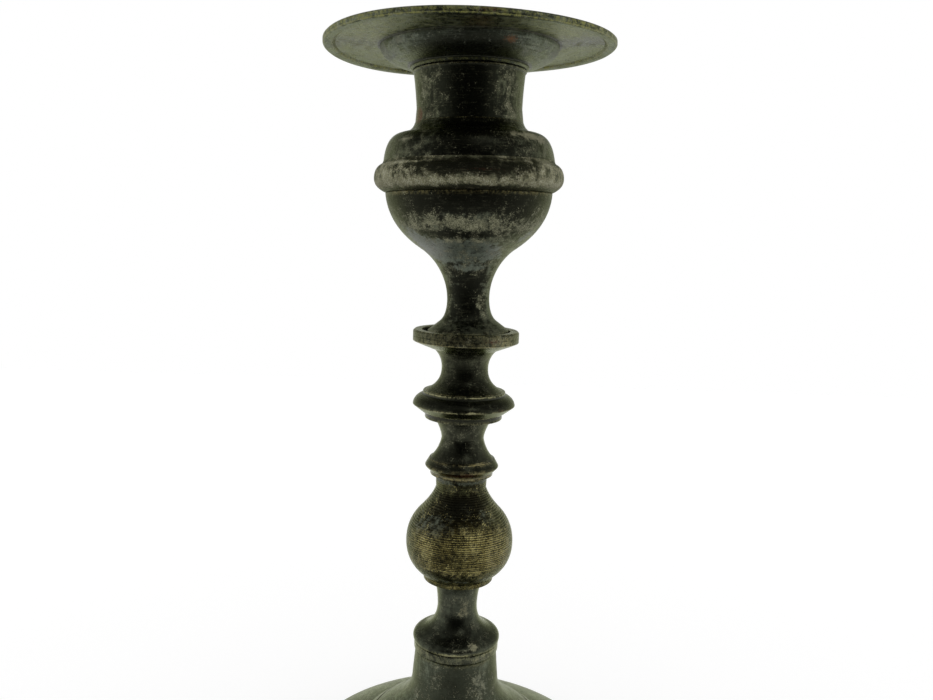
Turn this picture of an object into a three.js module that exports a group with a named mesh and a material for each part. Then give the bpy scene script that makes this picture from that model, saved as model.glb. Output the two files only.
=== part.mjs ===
// An old turned brass candlestick with a wide drip pan, stacked from turned sections on a threaded rod.
// Millimetres, +Z up, origin on the floor in the middle of the foot.
// Each section's heights are steps upwards from the place before, in the order in which they are named.
// A curve's shape is where its control point lies, as shares of the curve's width and of its height.

import * as THREE from 'three';

// Steps around each turned piece and along each curve of its outline

const roundSteps = 36;
const curveSteps = 4;

// Foot: a hollow domed shell with a cove, a dome and a flared neck, open underneath

const footRadius = 63;
const footRimWidth = 4;
const footRimHeight = 4.6;
const footRimBevel = 1;
const footCoveRadius = 49;
const footCoveHeight = 10.9;
const footCoveShape = [0.9, 0.1];
const footLedgeHeight = 2;
const footDomeRadius = 30.2;
const footDomeHeight = 9.2;
const footDomeShape = [0.46, 0.63];
const footStepHeight = 0.8;
const footConeRadius = 22.5;
const footConeHeight = 5.8;
const neckFootRadius = 13.8;
const neckFlareHeight = 11.2;
const neckFlareShape = [0.94, 0.46];
const neckTopRadius = 13;
const neckHeight = 9.8;
const footWall = 2.4;
const neckWeb = 8;
const neckCavityRadius = 10.5;

// Threaded rod with its washer and nut under the web of the foot's neck

const rodRadius = 3;
const rodClearance = 0.3;
const rodTail = 4;
const washerRadius = 7.5;
const washerThickness = 1.2;
const nutAcrossFlats = 10;
const nutHeight = 5;

// Foot collar: plain band, squat bulb and the thin waist above it

const collarBandRadius = 13.2;
const collarBandHeight = 3;
const collarBulbRadius = 13.9;
const collarBulbHeight = 1.1;
const collarCrownRadius = 11.4;
const collarCrownHeight = 2.2;
const collarCrownShape = [0, 0.7];
const collarWaistRadius = 6.3;
const collarWaistFootHeight = 7.9;
const collarWaistFootShape = [0.96, 0.28];
const collarTopRadius = 7.9;
const collarTopHeight = 9.4;
const collarTopShape = [0, 0.57];

// Ball knop: a fillet, a groove, the onion-shaped ball and its neck

const ballFilletRadius = 11;
const ballFilletHeight = 1.4;
const ballGrooveDepth = 0.5;
const ballGrooveHeight = 0.6;
const ballFootRadius = 11.7;
const ballRadius = 16.9;
const ballLowerHeight = 10.4;
const ballLowerShape = [1, 0.38];
const ballShoulderRadius = 13.3;
const ballShoulderHeight = 9.7;
const ballShoulderShape = [0, 0.58];
const ballNeckRadius = 7.9;
const ballCrownHeight = 7.9;
const ballCrownShape = [0.8, 0.56];
const ballNeckTopRadius = 8.1;
const ballNeckHeight = 4.1;

// Lower knop: a fillet, a sharp bead and the waist above it

const lowerKnopFilletRadius = 9.8;
const lowerKnopFilletHeight = 1;
const lowerKnopRadius = 11.6;
const lowerKnopBevelHeight = 1.8;
const lowerKnopTopRadius = 10.2;
const lowerKnopBeadHeight = 2.4;
const lowerKnopGroove = 0.4;
const lowerWaistRadius = 6.6;
const lowerWaistFootHeight = 6.4;
const lowerWaistFootShape = [0.82, 0.44];
const lowerWaistTopRadius = 9;
const lowerWaistTopHeight = 6.4;
const lowerWaistTopShape = [0, 0.34];

// Upper knop: a fillet, a bevel up to a sharp edge, a rounded top and a thin fillet above it

const upperKnopFilletRadius = 12;
const upperKnopFilletHeight = 1.8;
const upperKnopGrooveStep = 0.6;
const upperKnopRadius = 15.9;
const upperKnopBevelHeight = 2.5;
const upperKnopTopRadius = 12.8;
const upperKnopBeadHeight = 3.3;
const upperKnopBeadShape = [0.1, 0.7];
const upperKnopTopHeight = 1;

// Dished disc on its waist, with a recess that the urn stands in

const discFootRadius = 12;
const discWaistRadius = 7.2;
const discWaistFootHeight = 6.9;
const discWaistFootShape = [1, 0.32];
const discWaistTopRadius = 9.6;
const discWaistTopHeight = 5.8;
const discWaistTopShape = [0, 0.62];
const discUnderRadius = 14.7;
const discUnderHeight = 2;
const discRadius = 16.3;
const discBevelHeight = 0.7;
const discBandHeight = 3;
const discEdgeBevel = 0.5;
const discRimWidth = 2.7;
const discRecessDepth = 3;

// Seat of the urn, which stands a little crooked and off centre in the disc's recess

const urnLeanDegrees = 1.5;
const urnOffset = 0.6;
const urnFootClearance = 0.6;
const urnStudLength = 12;
const urnStudClearance = 0.2;
const seatGap = 0.3;

// Urn: trumpet foot and bowl in one piece, a belt over the seam, and the shoulder

const trumpetSkirtHeight = 2.3;
const trumpetNeckRadius = 8.9;
const trumpetNeckHeight = 2.7;
const trumpetRadius = 6.45;
const trumpetWaistHeight = 6.8;
const trumpetWaistShape = [0.96, 0.25];
const trumpetTopRadius = 9.8;
const trumpetTopHeight = 10.7;
const trumpetTopShape = [0, 0.54];
const bowlFootRadius = 14.6;
const bowlFootHeight = 4.7;
const bowlFootShape = [0.44, 0.64];
const bowlRadius = 25.1;
const bowlHeight = 16.4;
const bowlShape = [0.93, 0.4];
const urnWall = 2;
const beltRadius = 28.4;
const beltLowerHeight = 3.8;
const beltLowerShape = [1, 0.36];
const beltTopRadius = 25.8;
const beltUpperHeight = 4.7;
const beltUpperShape = [0, 0.64];
const shoulderSetback = 0.2;
const shoulderTurnRadius = 20.4;
const shoulderTurnHeight = 8.1;
const shoulderTurnShape = [0.17, 0.93];
const shoulderTopRadius = 16.3;
const shoulderTopHeight = 3;
const shoulderTopShape = [0.8, 0.12];

// Urn neck: the plain tube that the drip pan rests on

const tubeBoreRadius = 13.6;
const tubeFootRadius = 16.1;
const tubeWaistRadius = 15.7;
const tubeWaistHeight = 4;
const tubeTopRadius = 16.6;
const tubeTopHeight = 10.7;
const tubeTopShape = [0.2, 0.5];

// Drip pan: flat plate with a thickened edge and a bowl sunk in its middle

const panSeatRadius = 17.3;
const panBowlRadius = 26.4;
const panBowlDepth = 6.8;
const panBowlShape = [0.98, 0.22];
const panThickness = 1.2;
const panRadius = 42.8;
const panHemWidth = 2.8;
const panHemDrop = 1.2;
const panHemBevel = 0.4;

// Candle sleeve: the socket tube that hangs from the pan into the urn's neck

const candleRadius = 11.2;
const sleeveWall = 1.4;
const sleeveDepth = 24;
const sleeveFloor = 1.5;
const sleeveFlangeWidth = 2.6;
const sleeveFlangeThickness = 1;

// Heights and places worked out from the sizes above

const boreRadius = rodRadius + rodClearance;
const coveTop = footRimHeight + footRimBevel + footCoveHeight;
const ledgeTop = coveTop + footLedgeHeight;
const domeTop = ledgeTop + footDomeHeight;
const coneFoot = domeTop + footStepHeight;
const coneTop = coneFoot + footConeHeight;
const neckFoot = coneTop + neckFlareHeight;
const footHeight = neckFoot + neckHeight;
const webLevel = footHeight - neckWeb;
const washerLevel = webLevel - washerThickness;
const nutLevel = washerLevel - nutHeight;

const collarBulbTop = collarBandHeight + collarBulbHeight;
const collarCrownTop = collarBulbTop + collarCrownHeight;
const collarThin = collarCrownTop + collarWaistFootHeight;
const collarHeight = collarThin + collarTopHeight;

const ballFoot = ballFilletHeight + ballGrooveHeight;
const ballWidest = ballFoot + ballLowerHeight;
const ballShoulder = ballWidest + ballShoulderHeight;
const ballTop = ballShoulder + ballCrownHeight;
const ballHeight = ballTop + ballNeckHeight;

const lowerKnopEdge = lowerKnopFilletHeight + lowerKnopBevelHeight;
const lowerKnopTop = lowerKnopEdge + lowerKnopBeadHeight;
const lowerWaistThin = lowerKnopTop + lowerWaistFootHeight;
const lowerKnopHeight = lowerWaistThin + lowerWaistTopHeight;

const upperKnopEdge = upperKnopFilletHeight + upperKnopBevelHeight;
const upperKnopTop = upperKnopEdge + upperKnopBeadHeight;
const upperKnopHeight = upperKnopTop + upperKnopTopHeight;

const discWaistTop = discWaistFootHeight + discWaistTopHeight;
const discUnder = discWaistTop + discUnderHeight;
const discBandFoot = discUnder + discBevelHeight;
const discBandTop = discBandFoot + discBandHeight;
const discTop = discBandTop + discEdgeBevel;
const discRecess = discTop - discRecessDepth;

const ballLevel = footHeight + collarHeight;
const lowerKnopLevel = ballLevel + ballHeight;
const upperKnopLevel = lowerKnopLevel + lowerKnopHeight;
const discLevel = upperKnopLevel + upperKnopHeight;

const recessRadius = discRadius - discRimWidth;
const urnFootRadius = recessRadius - urnOffset - urnFootClearance;
const urnLean = THREE.MathUtils.degToRad(urnLeanDegrees);
const urnLevel = discLevel + discRecess + seatGap + urnFootRadius * Math.sin(urnLean);
const studBoreRadius = rodRadius + urnOffset + urnStudClearance;
const studBoreTop = urnStudLength + seatGap;

const trumpetSkirtTop = trumpetSkirtHeight + trumpetNeckHeight;
const trumpetThin = trumpetSkirtTop + trumpetWaistHeight;
const trumpetTop = trumpetThin + trumpetTopHeight;
const bowlFoot = trumpetTop + bowlFootHeight;
const bowlTop = bowlFoot + bowlHeight;
const beltHeight = beltLowerHeight + beltUpperHeight;
const shoulderRadius = beltTopRadius - shoulderSetback;
const shoulderHeight = shoulderTurnHeight + shoulderTopHeight;
const tubeHeight = tubeWaistHeight + tubeTopHeight;

const beltLevel = bowlTop + seatGap;
const shoulderLevel = beltLevel + beltHeight + seatGap;
const tubeLevel = shoulderLevel + shoulderHeight + seatGap;
const panLevel = tubeLevel + tubeHeight + seatGap;
const sleeveRadius = candleRadius + sleeveWall;

// Finishes

function metal(color, roughness, metalness) {
  return new THREE.MeshStandardMaterial({ color, roughness, metalness });
}

const darkBrass = metal(0x4a4a3e, 0.5, 0.8);
const wornBrass = metal(0x6b6646, 0.45, 0.85);
const greyBrass = metal(0x6f7263, 0.5, 0.8);
const steel = metal(0x777777, 0.45, 0.9);

// A piece turned from an outline of radius and height, which is closed here

function turned(name, finish, outline, level = 0) {
  const points = outline.getPoints(curveSteps);
  points.push(points[0].clone());
  const solid = new THREE.LatheGeometry(points, roundSteps);
  solid.rotateX(Math.PI / 2);
  const mesh = new THREE.Mesh(solid, finish);
  mesh.name = name;
  mesh.position.z = level;
  return mesh;
}

// An outline with its first point

function outlineFrom(radius, height) {
  return new THREE.Path().moveTo(radius, height);
}

// A curve from the outline's last point to a radius and height

function curve(outline, radius, height, shape) {
  const start = outline.currentPoint;
  const controlRadius = start.x + shape[0] * (radius - start.x);
  const controlHeight = start.y + shape[1] * (height - start.y);
  outline.quadraticCurveTo(controlRadius, controlHeight, radius, height);
}

// Foot

function footShell() {
  const rimTop = footRimHeight + footRimBevel;
  const ledgeInside = footCoveRadius - footWall;
  const outline = outlineFrom(footRadius, 0);
  outline.lineTo(footRadius, footRimHeight);
  outline.lineTo(footRadius - footRimBevel, rimTop);
  curve(outline, footCoveRadius, coveTop, footCoveShape);
  outline.lineTo(footCoveRadius, ledgeTop);
  curve(outline, footDomeRadius, domeTop, footDomeShape);
  outline.lineTo(footDomeRadius, coneFoot);
  outline.lineTo(footConeRadius, coneTop);
  curve(outline, neckFootRadius, neckFoot, neckFlareShape);
  outline.lineTo(neckTopRadius, footHeight);
  outline.lineTo(boreRadius, footHeight);
  outline.lineTo(boreRadius, webLevel);
  outline.lineTo(neckCavityRadius, webLevel);
  outline.lineTo(neckCavityRadius, coneTop - footWall);
  outline.lineTo(footDomeRadius - footWall, domeTop - footWall);
  outline.lineTo(ledgeInside, ledgeTop - footWall);
  outline.lineTo(ledgeInside, rimTop - footWall);
  outline.lineTo(footRadius - footRimWidth, footRimBevel);
  outline.lineTo(footRadius - footRimWidth, 0);
  return turned('base_shell', darkBrass, outline);
}

// Rod, washer and nut

function tieRod() {
  const outline = outlineFrom(0, nutLevel - rodTail);
  outline.lineTo(rodRadius, nutLevel - rodTail);
  outline.lineTo(rodRadius, urnLevel + urnStudLength);
  outline.lineTo(0, urnLevel + urnStudLength);
  return turned('tie_rod', steel, outline);
}

function rodWasher() {
  const outline = outlineFrom(boreRadius, 0);
  outline.lineTo(washerRadius, 0);
  outline.lineTo(washerRadius, washerThickness);
  outline.lineTo(boreRadius, washerThickness);
  return turned('rod_washer', wornBrass, outline, washerLevel);
}

function rodNut() {
  const sides = 6;
  const cornerRadius = nutAcrossFlats / 2 / Math.cos(Math.PI / sides);
  const corners = [];
  for (let side = 0; side < sides; side += 1) {
    const angle = (side * 2 * Math.PI) / sides;
    corners.push(new THREE.Vector2(cornerRadius * Math.cos(angle), cornerRadius * Math.sin(angle)));
  }
  const hexagon = new THREE.Shape(corners);
  hexagon.holes.push(new THREE.Path().absarc(0, 0, boreRadius, 0, 2 * Math.PI, true));
  const solid = new THREE.ExtrudeGeometry(hexagon, { depth: nutHeight, bevelEnabled: false });
  const mesh = new THREE.Mesh(solid, wornBrass);
  mesh.name = 'rod_nut';
  mesh.position.z = nutLevel;
  return mesh;
}

// Foot collar

function footCollar() {
  const outline = outlineFrom(boreRadius, 0);
  outline.lineTo(collarBandRadius, 0);
  outline.lineTo(collarBandRadius, collarBandHeight);
  outline.lineTo(collarBulbRadius, collarBandHeight);
  outline.lineTo(collarBulbRadius, collarBulbTop);
  curve(outline, collarCrownRadius, collarCrownTop, collarCrownShape);
  curve(outline, collarWaistRadius, collarThin, collarWaistFootShape);
  curve(outline, collarTopRadius, collarHeight, collarTopShape);
  outline.lineTo(boreRadius, collarHeight);
  return turned('foot_collar', darkBrass, outline, footHeight);
}

// Ball knop

function ballKnop() {
  const outline = outlineFrom(boreRadius, 0);
  outline.lineTo(ballFilletRadius, 0);
  outline.lineTo(ballFilletRadius, ballFilletHeight);
  outline.lineTo(ballFilletRadius - ballGrooveDepth, ballFilletHeight);
  outline.lineTo(ballFootRadius, ballFoot);
  curve(outline, ballRadius, ballWidest, ballLowerShape);
  curve(outline, ballShoulderRadius, ballShoulder, ballShoulderShape);
  curve(outline, ballNeckRadius, ballTop, ballCrownShape);
  outline.lineTo(ballNeckTopRadius, ballHeight);
  outline.lineTo(boreRadius, ballHeight);
  return turned('ball_knop', wornBrass, outline, ballLevel);
}

// Lower knop

function lowerKnop() {
  const outline = outlineFrom(boreRadius, 0);
  outline.lineTo(lowerKnopFilletRadius, 0);
  outline.lineTo(lowerKnopFilletRadius, lowerKnopFilletHeight);
  outline.lineTo(lowerKnopRadius, lowerKnopEdge);
  outline.lineTo(lowerKnopTopRadius, lowerKnopTop);
  outline.lineTo(lowerKnopTopRadius - lowerKnopGroove, lowerKnopTop);
  curve(outline, lowerWaistRadius, lowerWaistThin, lowerWaistFootShape);
  curve(outline, lowerWaistTopRadius, lowerKnopHeight, lowerWaistTopShape);
  outline.lineTo(boreRadius, lowerKnopHeight);
  return turned('lower_knop', darkBrass, outline, lowerKnopLevel);
}

// Upper knop

function upperKnop() {
  const outline = outlineFrom(boreRadius, 0);
  outline.lineTo(upperKnopFilletRadius, 0);
  outline.lineTo(upperKnopFilletRadius, upperKnopFilletHeight);
  outline.lineTo(upperKnopFilletRadius + upperKnopGrooveStep, upperKnopFilletHeight);
  outline.lineTo(upperKnopRadius, upperKnopEdge);
  curve(outline, upperKnopTopRadius, upperKnopTop, upperKnopBeadShape);
  outline.lineTo(upperKnopTopRadius, upperKnopHeight);
  outline.lineTo(boreRadius, upperKnopHeight);
  return turned('upper_knop', darkBrass, outline, upperKnopLevel);
}

// Dished disc

function dishedDisc() {
  const outline = outlineFrom(boreRadius, 0);
  outline.lineTo(discFootRadius, 0);
  curve(outline, discWaistRadius, discWaistFootHeight, discWaistFootShape);
  curve(outline, discWaistTopRadius, discWaistTop, discWaistTopShape);
  outline.lineTo(discUnderRadius, discUnder);
  outline.lineTo(discRadius, discBandFoot);
  outline.lineTo(discRadius, discBandTop);
  outline.lineTo(discRadius - discEdgeBevel, discTop);
  outline.lineTo(recessRadius, discTop);
  outline.lineTo(recessRadius, discRecess);
  outline.lineTo(boreRadius, discRecess);
  return turned('dished_disc', darkBrass, outline, discLevel);
}

// Urn: trumpet foot with the bowl, belt, shoulder and neck

function urnBowl() {
  const outline = outlineFrom(studBoreRadius, 0);
  outline.lineTo(urnFootRadius, 0);
  outline.lineTo(urnFootRadius, trumpetSkirtHeight);
  outline.lineTo(trumpetNeckRadius, trumpetSkirtTop);
  curve(outline, trumpetRadius, trumpetThin, trumpetWaistShape);
  curve(outline, trumpetTopRadius, trumpetTop, trumpetTopShape);
  curve(outline, bowlFootRadius, bowlFoot, bowlFootShape);
  curve(outline, bowlRadius, bowlTop, bowlShape);
  outline.lineTo(bowlRadius - urnWall, bowlTop);
  curve(outline, 0, bowlFoot, [1 - bowlShape[0], 1 - bowlShape[1]]);
  outline.lineTo(0, studBoreTop);
  outline.lineTo(studBoreRadius, studBoreTop);
  return turned('urn_bowl', greyBrass, outline);
}

function urnBelt() {
  const outline = outlineFrom(bowlRadius - urnWall, 0);
  outline.lineTo(bowlRadius, 0);
  curve(outline, beltRadius, beltLowerHeight, beltLowerShape);
  curve(outline, beltTopRadius, beltHeight, beltUpperShape);
  outline.lineTo(beltTopRadius - urnWall, beltHeight);
  return turned('urn_belt', wornBrass, outline, beltLevel);
}

function urnShoulder() {
  const outline = outlineFrom(shoulderRadius - urnWall, 0);
  outline.lineTo(shoulderRadius, 0);
  curve(outline, shoulderTurnRadius, shoulderTurnHeight, shoulderTurnShape);
  curve(outline, shoulderTopRadius, shoulderHeight, shoulderTopShape);
  outline.lineTo(tubeBoreRadius, shoulderHeight);
  outline.lineTo(tubeBoreRadius, shoulderTurnHeight - urnWall);
  outline.lineTo(shoulderTurnRadius - urnWall, shoulderTurnHeight - urnWall);
  return turned('urn_shoulder', darkBrass, outline, shoulderLevel);
}

function urnNeck() {
  const outline = outlineFrom(tubeBoreRadius, 0);
  outline.lineTo(tubeFootRadius, 0);
  outline.lineTo(tubeWaistRadius, tubeWaistHeight);
  curve(outline, tubeTopRadius, tubeHeight, tubeTopShape);
  outline.lineTo(tubeBoreRadius, tubeHeight);
  return turned('urn_neck', darkBrass, outline, tubeLevel);
}

// Drip pan and candle sleeve

function dripPan() {
  const hole = sleeveRadius + seatGap;
  const hemInside = panRadius - panHemWidth;
  const hemFoot = panBowlDepth - panHemDrop;
  const panTop = panBowlDepth + panThickness;
  const outline = outlineFrom(hole, 0);
  outline.lineTo(panSeatRadius, 0);
  curve(outline, panBowlRadius, panBowlDepth, panBowlShape);
  outline.lineTo(hemInside, panBowlDepth);
  outline.lineTo(hemInside + panHemBevel, hemFoot);
  outline.lineTo(panRadius - panHemBevel, hemFoot);
  outline.lineTo(panRadius, hemFoot + panHemBevel);
  outline.lineTo(panRadius, panTop - panHemBevel);
  outline.lineTo(panRadius - panHemBevel, panTop);
  outline.lineTo(panBowlRadius - panThickness, panTop);
  curve(outline, panSeatRadius, panThickness, [1 - panBowlShape[0], 1 - panBowlShape[1]]);
  outline.lineTo(hole, panThickness);
  return turned('drip_pan', greyBrass, outline, panLevel);
}

function candleSleeve() {
  const flangeFoot = panThickness + seatGap;
  const flangeTop = flangeFoot + sleeveFlangeThickness;
  const outline = outlineFrom(0, -sleeveDepth);
  outline.lineTo(sleeveRadius, -sleeveDepth);
  outline.lineTo(sleeveRadius, flangeFoot);
  outline.lineTo(sleeveRadius + sleeveFlangeWidth, flangeFoot);
  outline.lineTo(sleeveRadius + sleeveFlangeWidth, flangeTop);
  outline.lineTo(candleRadius, flangeTop);
  outline.lineTo(candleRadius, sleeveFloor - sleeveDepth);
  outline.lineTo(0, sleeveFloor - sleeveDepth);
  return turned('candle_sleeve', wornBrass, outline, panLevel);
}

// Assembly: the urn's pieces share one leaning axis

const urn = new THREE.Group();
urn.position.set(urnOffset, 0, urnLevel);
urn.rotation.y = -urnLean;
urn.add(urnBowl(), urnBelt(), urnShoulder(), urnNeck(), dripPan(), candleSleeve());

const candlestick = new THREE.Group();
candlestick.add(footShell(), tieRod(), rodWasher(), rodNut());
candlestick.add(footCollar(), ballKnop(), lowerKnop(), upperKnop(), dishedDisc());
candlestick.add(urn);

export default candlestick;
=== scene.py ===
# Looks of an old turned brass candlestick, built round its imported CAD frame. Outlines are in millimetres.

import math
from typing import NamedTuple

import bpy
import numpy as np
from mathutils import Matrix, Vector


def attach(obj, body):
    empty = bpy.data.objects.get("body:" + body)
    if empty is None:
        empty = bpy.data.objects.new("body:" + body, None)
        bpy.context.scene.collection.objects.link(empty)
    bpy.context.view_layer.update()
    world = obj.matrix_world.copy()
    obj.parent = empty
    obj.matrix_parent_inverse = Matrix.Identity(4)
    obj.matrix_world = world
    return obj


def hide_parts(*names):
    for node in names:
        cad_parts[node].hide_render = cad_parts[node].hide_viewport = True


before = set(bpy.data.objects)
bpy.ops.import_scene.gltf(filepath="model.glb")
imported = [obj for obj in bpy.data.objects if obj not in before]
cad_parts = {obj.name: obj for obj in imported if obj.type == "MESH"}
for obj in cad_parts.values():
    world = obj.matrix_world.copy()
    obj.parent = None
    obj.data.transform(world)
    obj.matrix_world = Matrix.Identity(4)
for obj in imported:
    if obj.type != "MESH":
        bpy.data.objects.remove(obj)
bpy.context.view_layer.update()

MM = 0.001

# Fineness of the turned surfaces
AROUND = 160
CURVE_STEPS = 14
CORNER_STEPS = 4
STEP_MM = 0.7
SHARP_CORNER = math.radians(20)
CRISP_CORNER = 0.12
CORNER_SHARE = 0.42

# Bores, walls and the foot's width. Surfaces within BORE_LIMIT of the axis stay perfectly round.
BORE_LIMIT = 4.5
ROD_BORE = 3.3
NECK_BORE = 13.6
PAN_BORE = 12.9
FOOT_RADIUS = 62.92
FOOT_WEB = 8.0
DISC_FLOOR = 15.9

# Heights of the stem's sections, which stand on each other
FOOT_TALL = 55.3
COLLAR_TALL = 23.6
BALL_TALL = 34.1
LOWER_KNOP_TALL = 18.0
UPPER_KNOP_TALL = 8.6
COLLAR_LEVEL = FOOT_TALL
BALL_LEVEL = COLLAR_LEVEL + COLLAR_TALL
LOWER_KNOP_LEVEL = BALL_LEVEL + BALL_TALL
UPPER_KNOP_LEVEL = LOWER_KNOP_LEVEL + LOWER_KNOP_TALL
DISC_LEVEL = UPPER_KNOP_LEVEL + UPPER_KNOP_TALL

# Heights of the urn's pieces along its own axis. The belt and the pan lie a seam's width clear.
SEAM = 0.3
BOWL_TALL = 43.6
BELT_TALL = 8.8
SHOULDER_TALL = 11.4
NECK_TALL = 14.7
BELT_LEVEL = BOWL_TALL + SEAM
SHOULDER_LEVEL = BELT_LEVEL + BELT_TALL
NECK_LEVEL = SHOULDER_LEVEL + SHOULDER_TALL
PAN_LEVEL = NECK_LEVEL + NECK_TALL + SEAM

# The pan's plate bends by up to PAN_WARP. Its edge stays PAN_MARGIN below the solid's highest point.
PAN_RADIUS = 42.8
PAN_BOWL_RADIUS = 26.4
PAN_WARP = 0.65
PAN_MARGIN = 0.03

# The urn's pieces share one leaning axis
URN_ORIGIN = Vector((0.6, 0.0, 156.1246))
URN_LEAN = math.radians(-1.5)
URN_PLACE = Matrix.Translation(URN_ORIGIN) @ Matrix.Rotation(URN_LEAN, 4, "Y")
STEM_PLACE = Matrix.Identity(4)


# Outlines


class Outline:
    """An outline of radius and height, from straight runs and curves.

    A curve's control point is given as shares of its run. A third number on a point is the rounding there.
    """

    def __init__(self, r, z):
        self.points = [(r, z)]

    def line(self, *points):
        self.points.extend(points)
        return self

    def curve(self, r, z, shape):
        r0, z0 = self.points[-1][:2]
        rc = r0 + shape[0] * (r - r0)
        zc = z0 + shape[1] * (z - z0)
        for k in range(1, CURVE_STEPS + 1):
            t = k / CURVE_STEPS
            a, b, c = (1 - t) ** 2, 2 * t * (1 - t), t * t
            self.points.append((a * r0 + b * rc + c * r, a * z0 + b * zc + c * z))
        return self


def turn_angle(before, point, after):
    a = math.atan2(point[1] - before[1], point[0] - before[0])
    b = math.atan2(after[1] - point[1], after[0] - point[0])
    return (b - a + math.pi) % (2 * math.pi) - math.pi


def softened(points, radius, closed):
    """Sharp corners are rounded. Each point returned also has the angle by which its corner turns.

    The angle is 0 away from corners, and on corners too crisp to show wear.
    """
    out = []
    n = len(points)
    for i, p in enumerate(points):
        if not closed and i in (0, n - 1):
            out.append((p[0], p[1], 0.0))
            continue
        before, after = points[i - 1][:2], points[(i + 1) % n][:2]
        angle = turn_angle(before, p, after)
        if abs(angle) < SHARP_CORNER:
            out.append((p[0], p[1], 0.0))
            continue
        a = math.dist(before, p[:2])
        b = math.dist(after, p[:2])
        corner = p[2] if len(p) > 2 else radius
        wear = 0.0 if corner < CRISP_CORNER else angle
        reach = min(corner * math.tan(abs(angle) / 2), CORNER_SHARE * a, CORNER_SHARE * b)
        start = [p[k] + (before[k] - p[k]) * reach / a for k in (0, 1)]
        end = [p[k] + (after[k] - p[k]) * reach / b for k in (0, 1)]
        for k in range(CORNER_STEPS + 1):
            t = k / CORNER_STEPS
            r = (1 - t) ** 2 * start[0] + 2 * t * (1 - t) * p[0] + t * t * end[0]
            z = (1 - t) ** 2 * start[1] + 2 * t * (1 - t) * p[1] + t * t * end[1]
            out.append((r, z, wear))
    return out


def resampled(points, closed):
    """Long runs get more points, so that masks and unevenness show on them."""
    out = []
    n = len(points)
    for i in range(n if closed else n - 1):
        p, q = points[i], points[(i + 1) % n]
        out.append(p)
        parts = int(math.dist(p[:2], q[:2]) / STEP_MM)
        for k in range(1, parts):
            t = k / parts
            out.append((p[0] + (q[0] - p[0]) * t, p[1] + (q[1] - p[1]) * t, 0.0))
    if not closed:
        out.append(points[-1])
    return out


# Marks on a piece


class Ring(NamedTuple):
    """A soft mark all the way round. Height and half height are in mm of the piece's own height."""

    height: float
    tall: float
    strength: float

    def spread(self, azimuth, radius, height):
        return ((height - self.height) / self.tall) ** 2


class Spot(NamedTuple):
    """A soft mark in one place. Azimuth is in degrees from the front, wide and tall are half sizes in mm."""

    azimuth: float
    height: float
    wide: float
    tall: float
    strength: float

    def spread(self, azimuth, radius, height):
        away = (azimuth - math.radians(self.azimuth) + np.pi) % (2 * np.pi) - np.pi
        return (away * np.maximum(radius, 1.0) / self.wide) ** 2 + ((height - self.height) / self.tall) ** 2


# Kinds of mark stored on a piece: the shade marks are painted shade, the pale marks are scurf and on some
# pieces painted highlights, and the wear marks are wear and also painted glint lines.
MASKS = ("pale", "worn", "rust", "shade", "cool")


def mask(marks, azimuth, radius, height):
    total = np.zeros_like(radius)
    for mark in marks:
        total += mark.strength * np.exp(-mark.spread(azimuth, radius, height))
    return total


def unevenness(azimuth, height, seed):
    """A smooth, slow waviness of a hand-finished surface, between about -1 and 1."""
    rng = np.random.default_rng(seed)
    total = np.zeros_like(azimuth)
    for turns in range(1, 7):
        for _ in range(3):
            phase, lean, size = rng.uniform(0, 2 * np.pi), rng.uniform(-0.35, 0.35), rng.uniform(0.4, 1.0)
            total += size / turns**0.7 * np.sin(turns * azimuth + lean * height + phase)
    return total / 4


# Turned pieces


def turned_faces(r, closed):
    """Quads between neighbouring rows of points, and triangles where a row lies on the axis."""
    faces = []
    rows = len(r)
    for i in range(rows if closed else rows - 1):
        a, b = i * AROUND, ((i + 1) % rows) * AROUND
        at_axis, to_axis = r[i] < 1e-6, r[(i + 1) % rows] < 1e-6
        if at_axis and to_axis:
            continue
        for j in range(AROUND):
            k = (j + 1) % AROUND
            if at_axis:
                faces.append((a, b + k, b + j))
            elif to_axis:
                faces.append((a + j, a + k, b))
            else:
                faces.append((a + j, a + k, b + k, b + j))
    return faces


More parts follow.
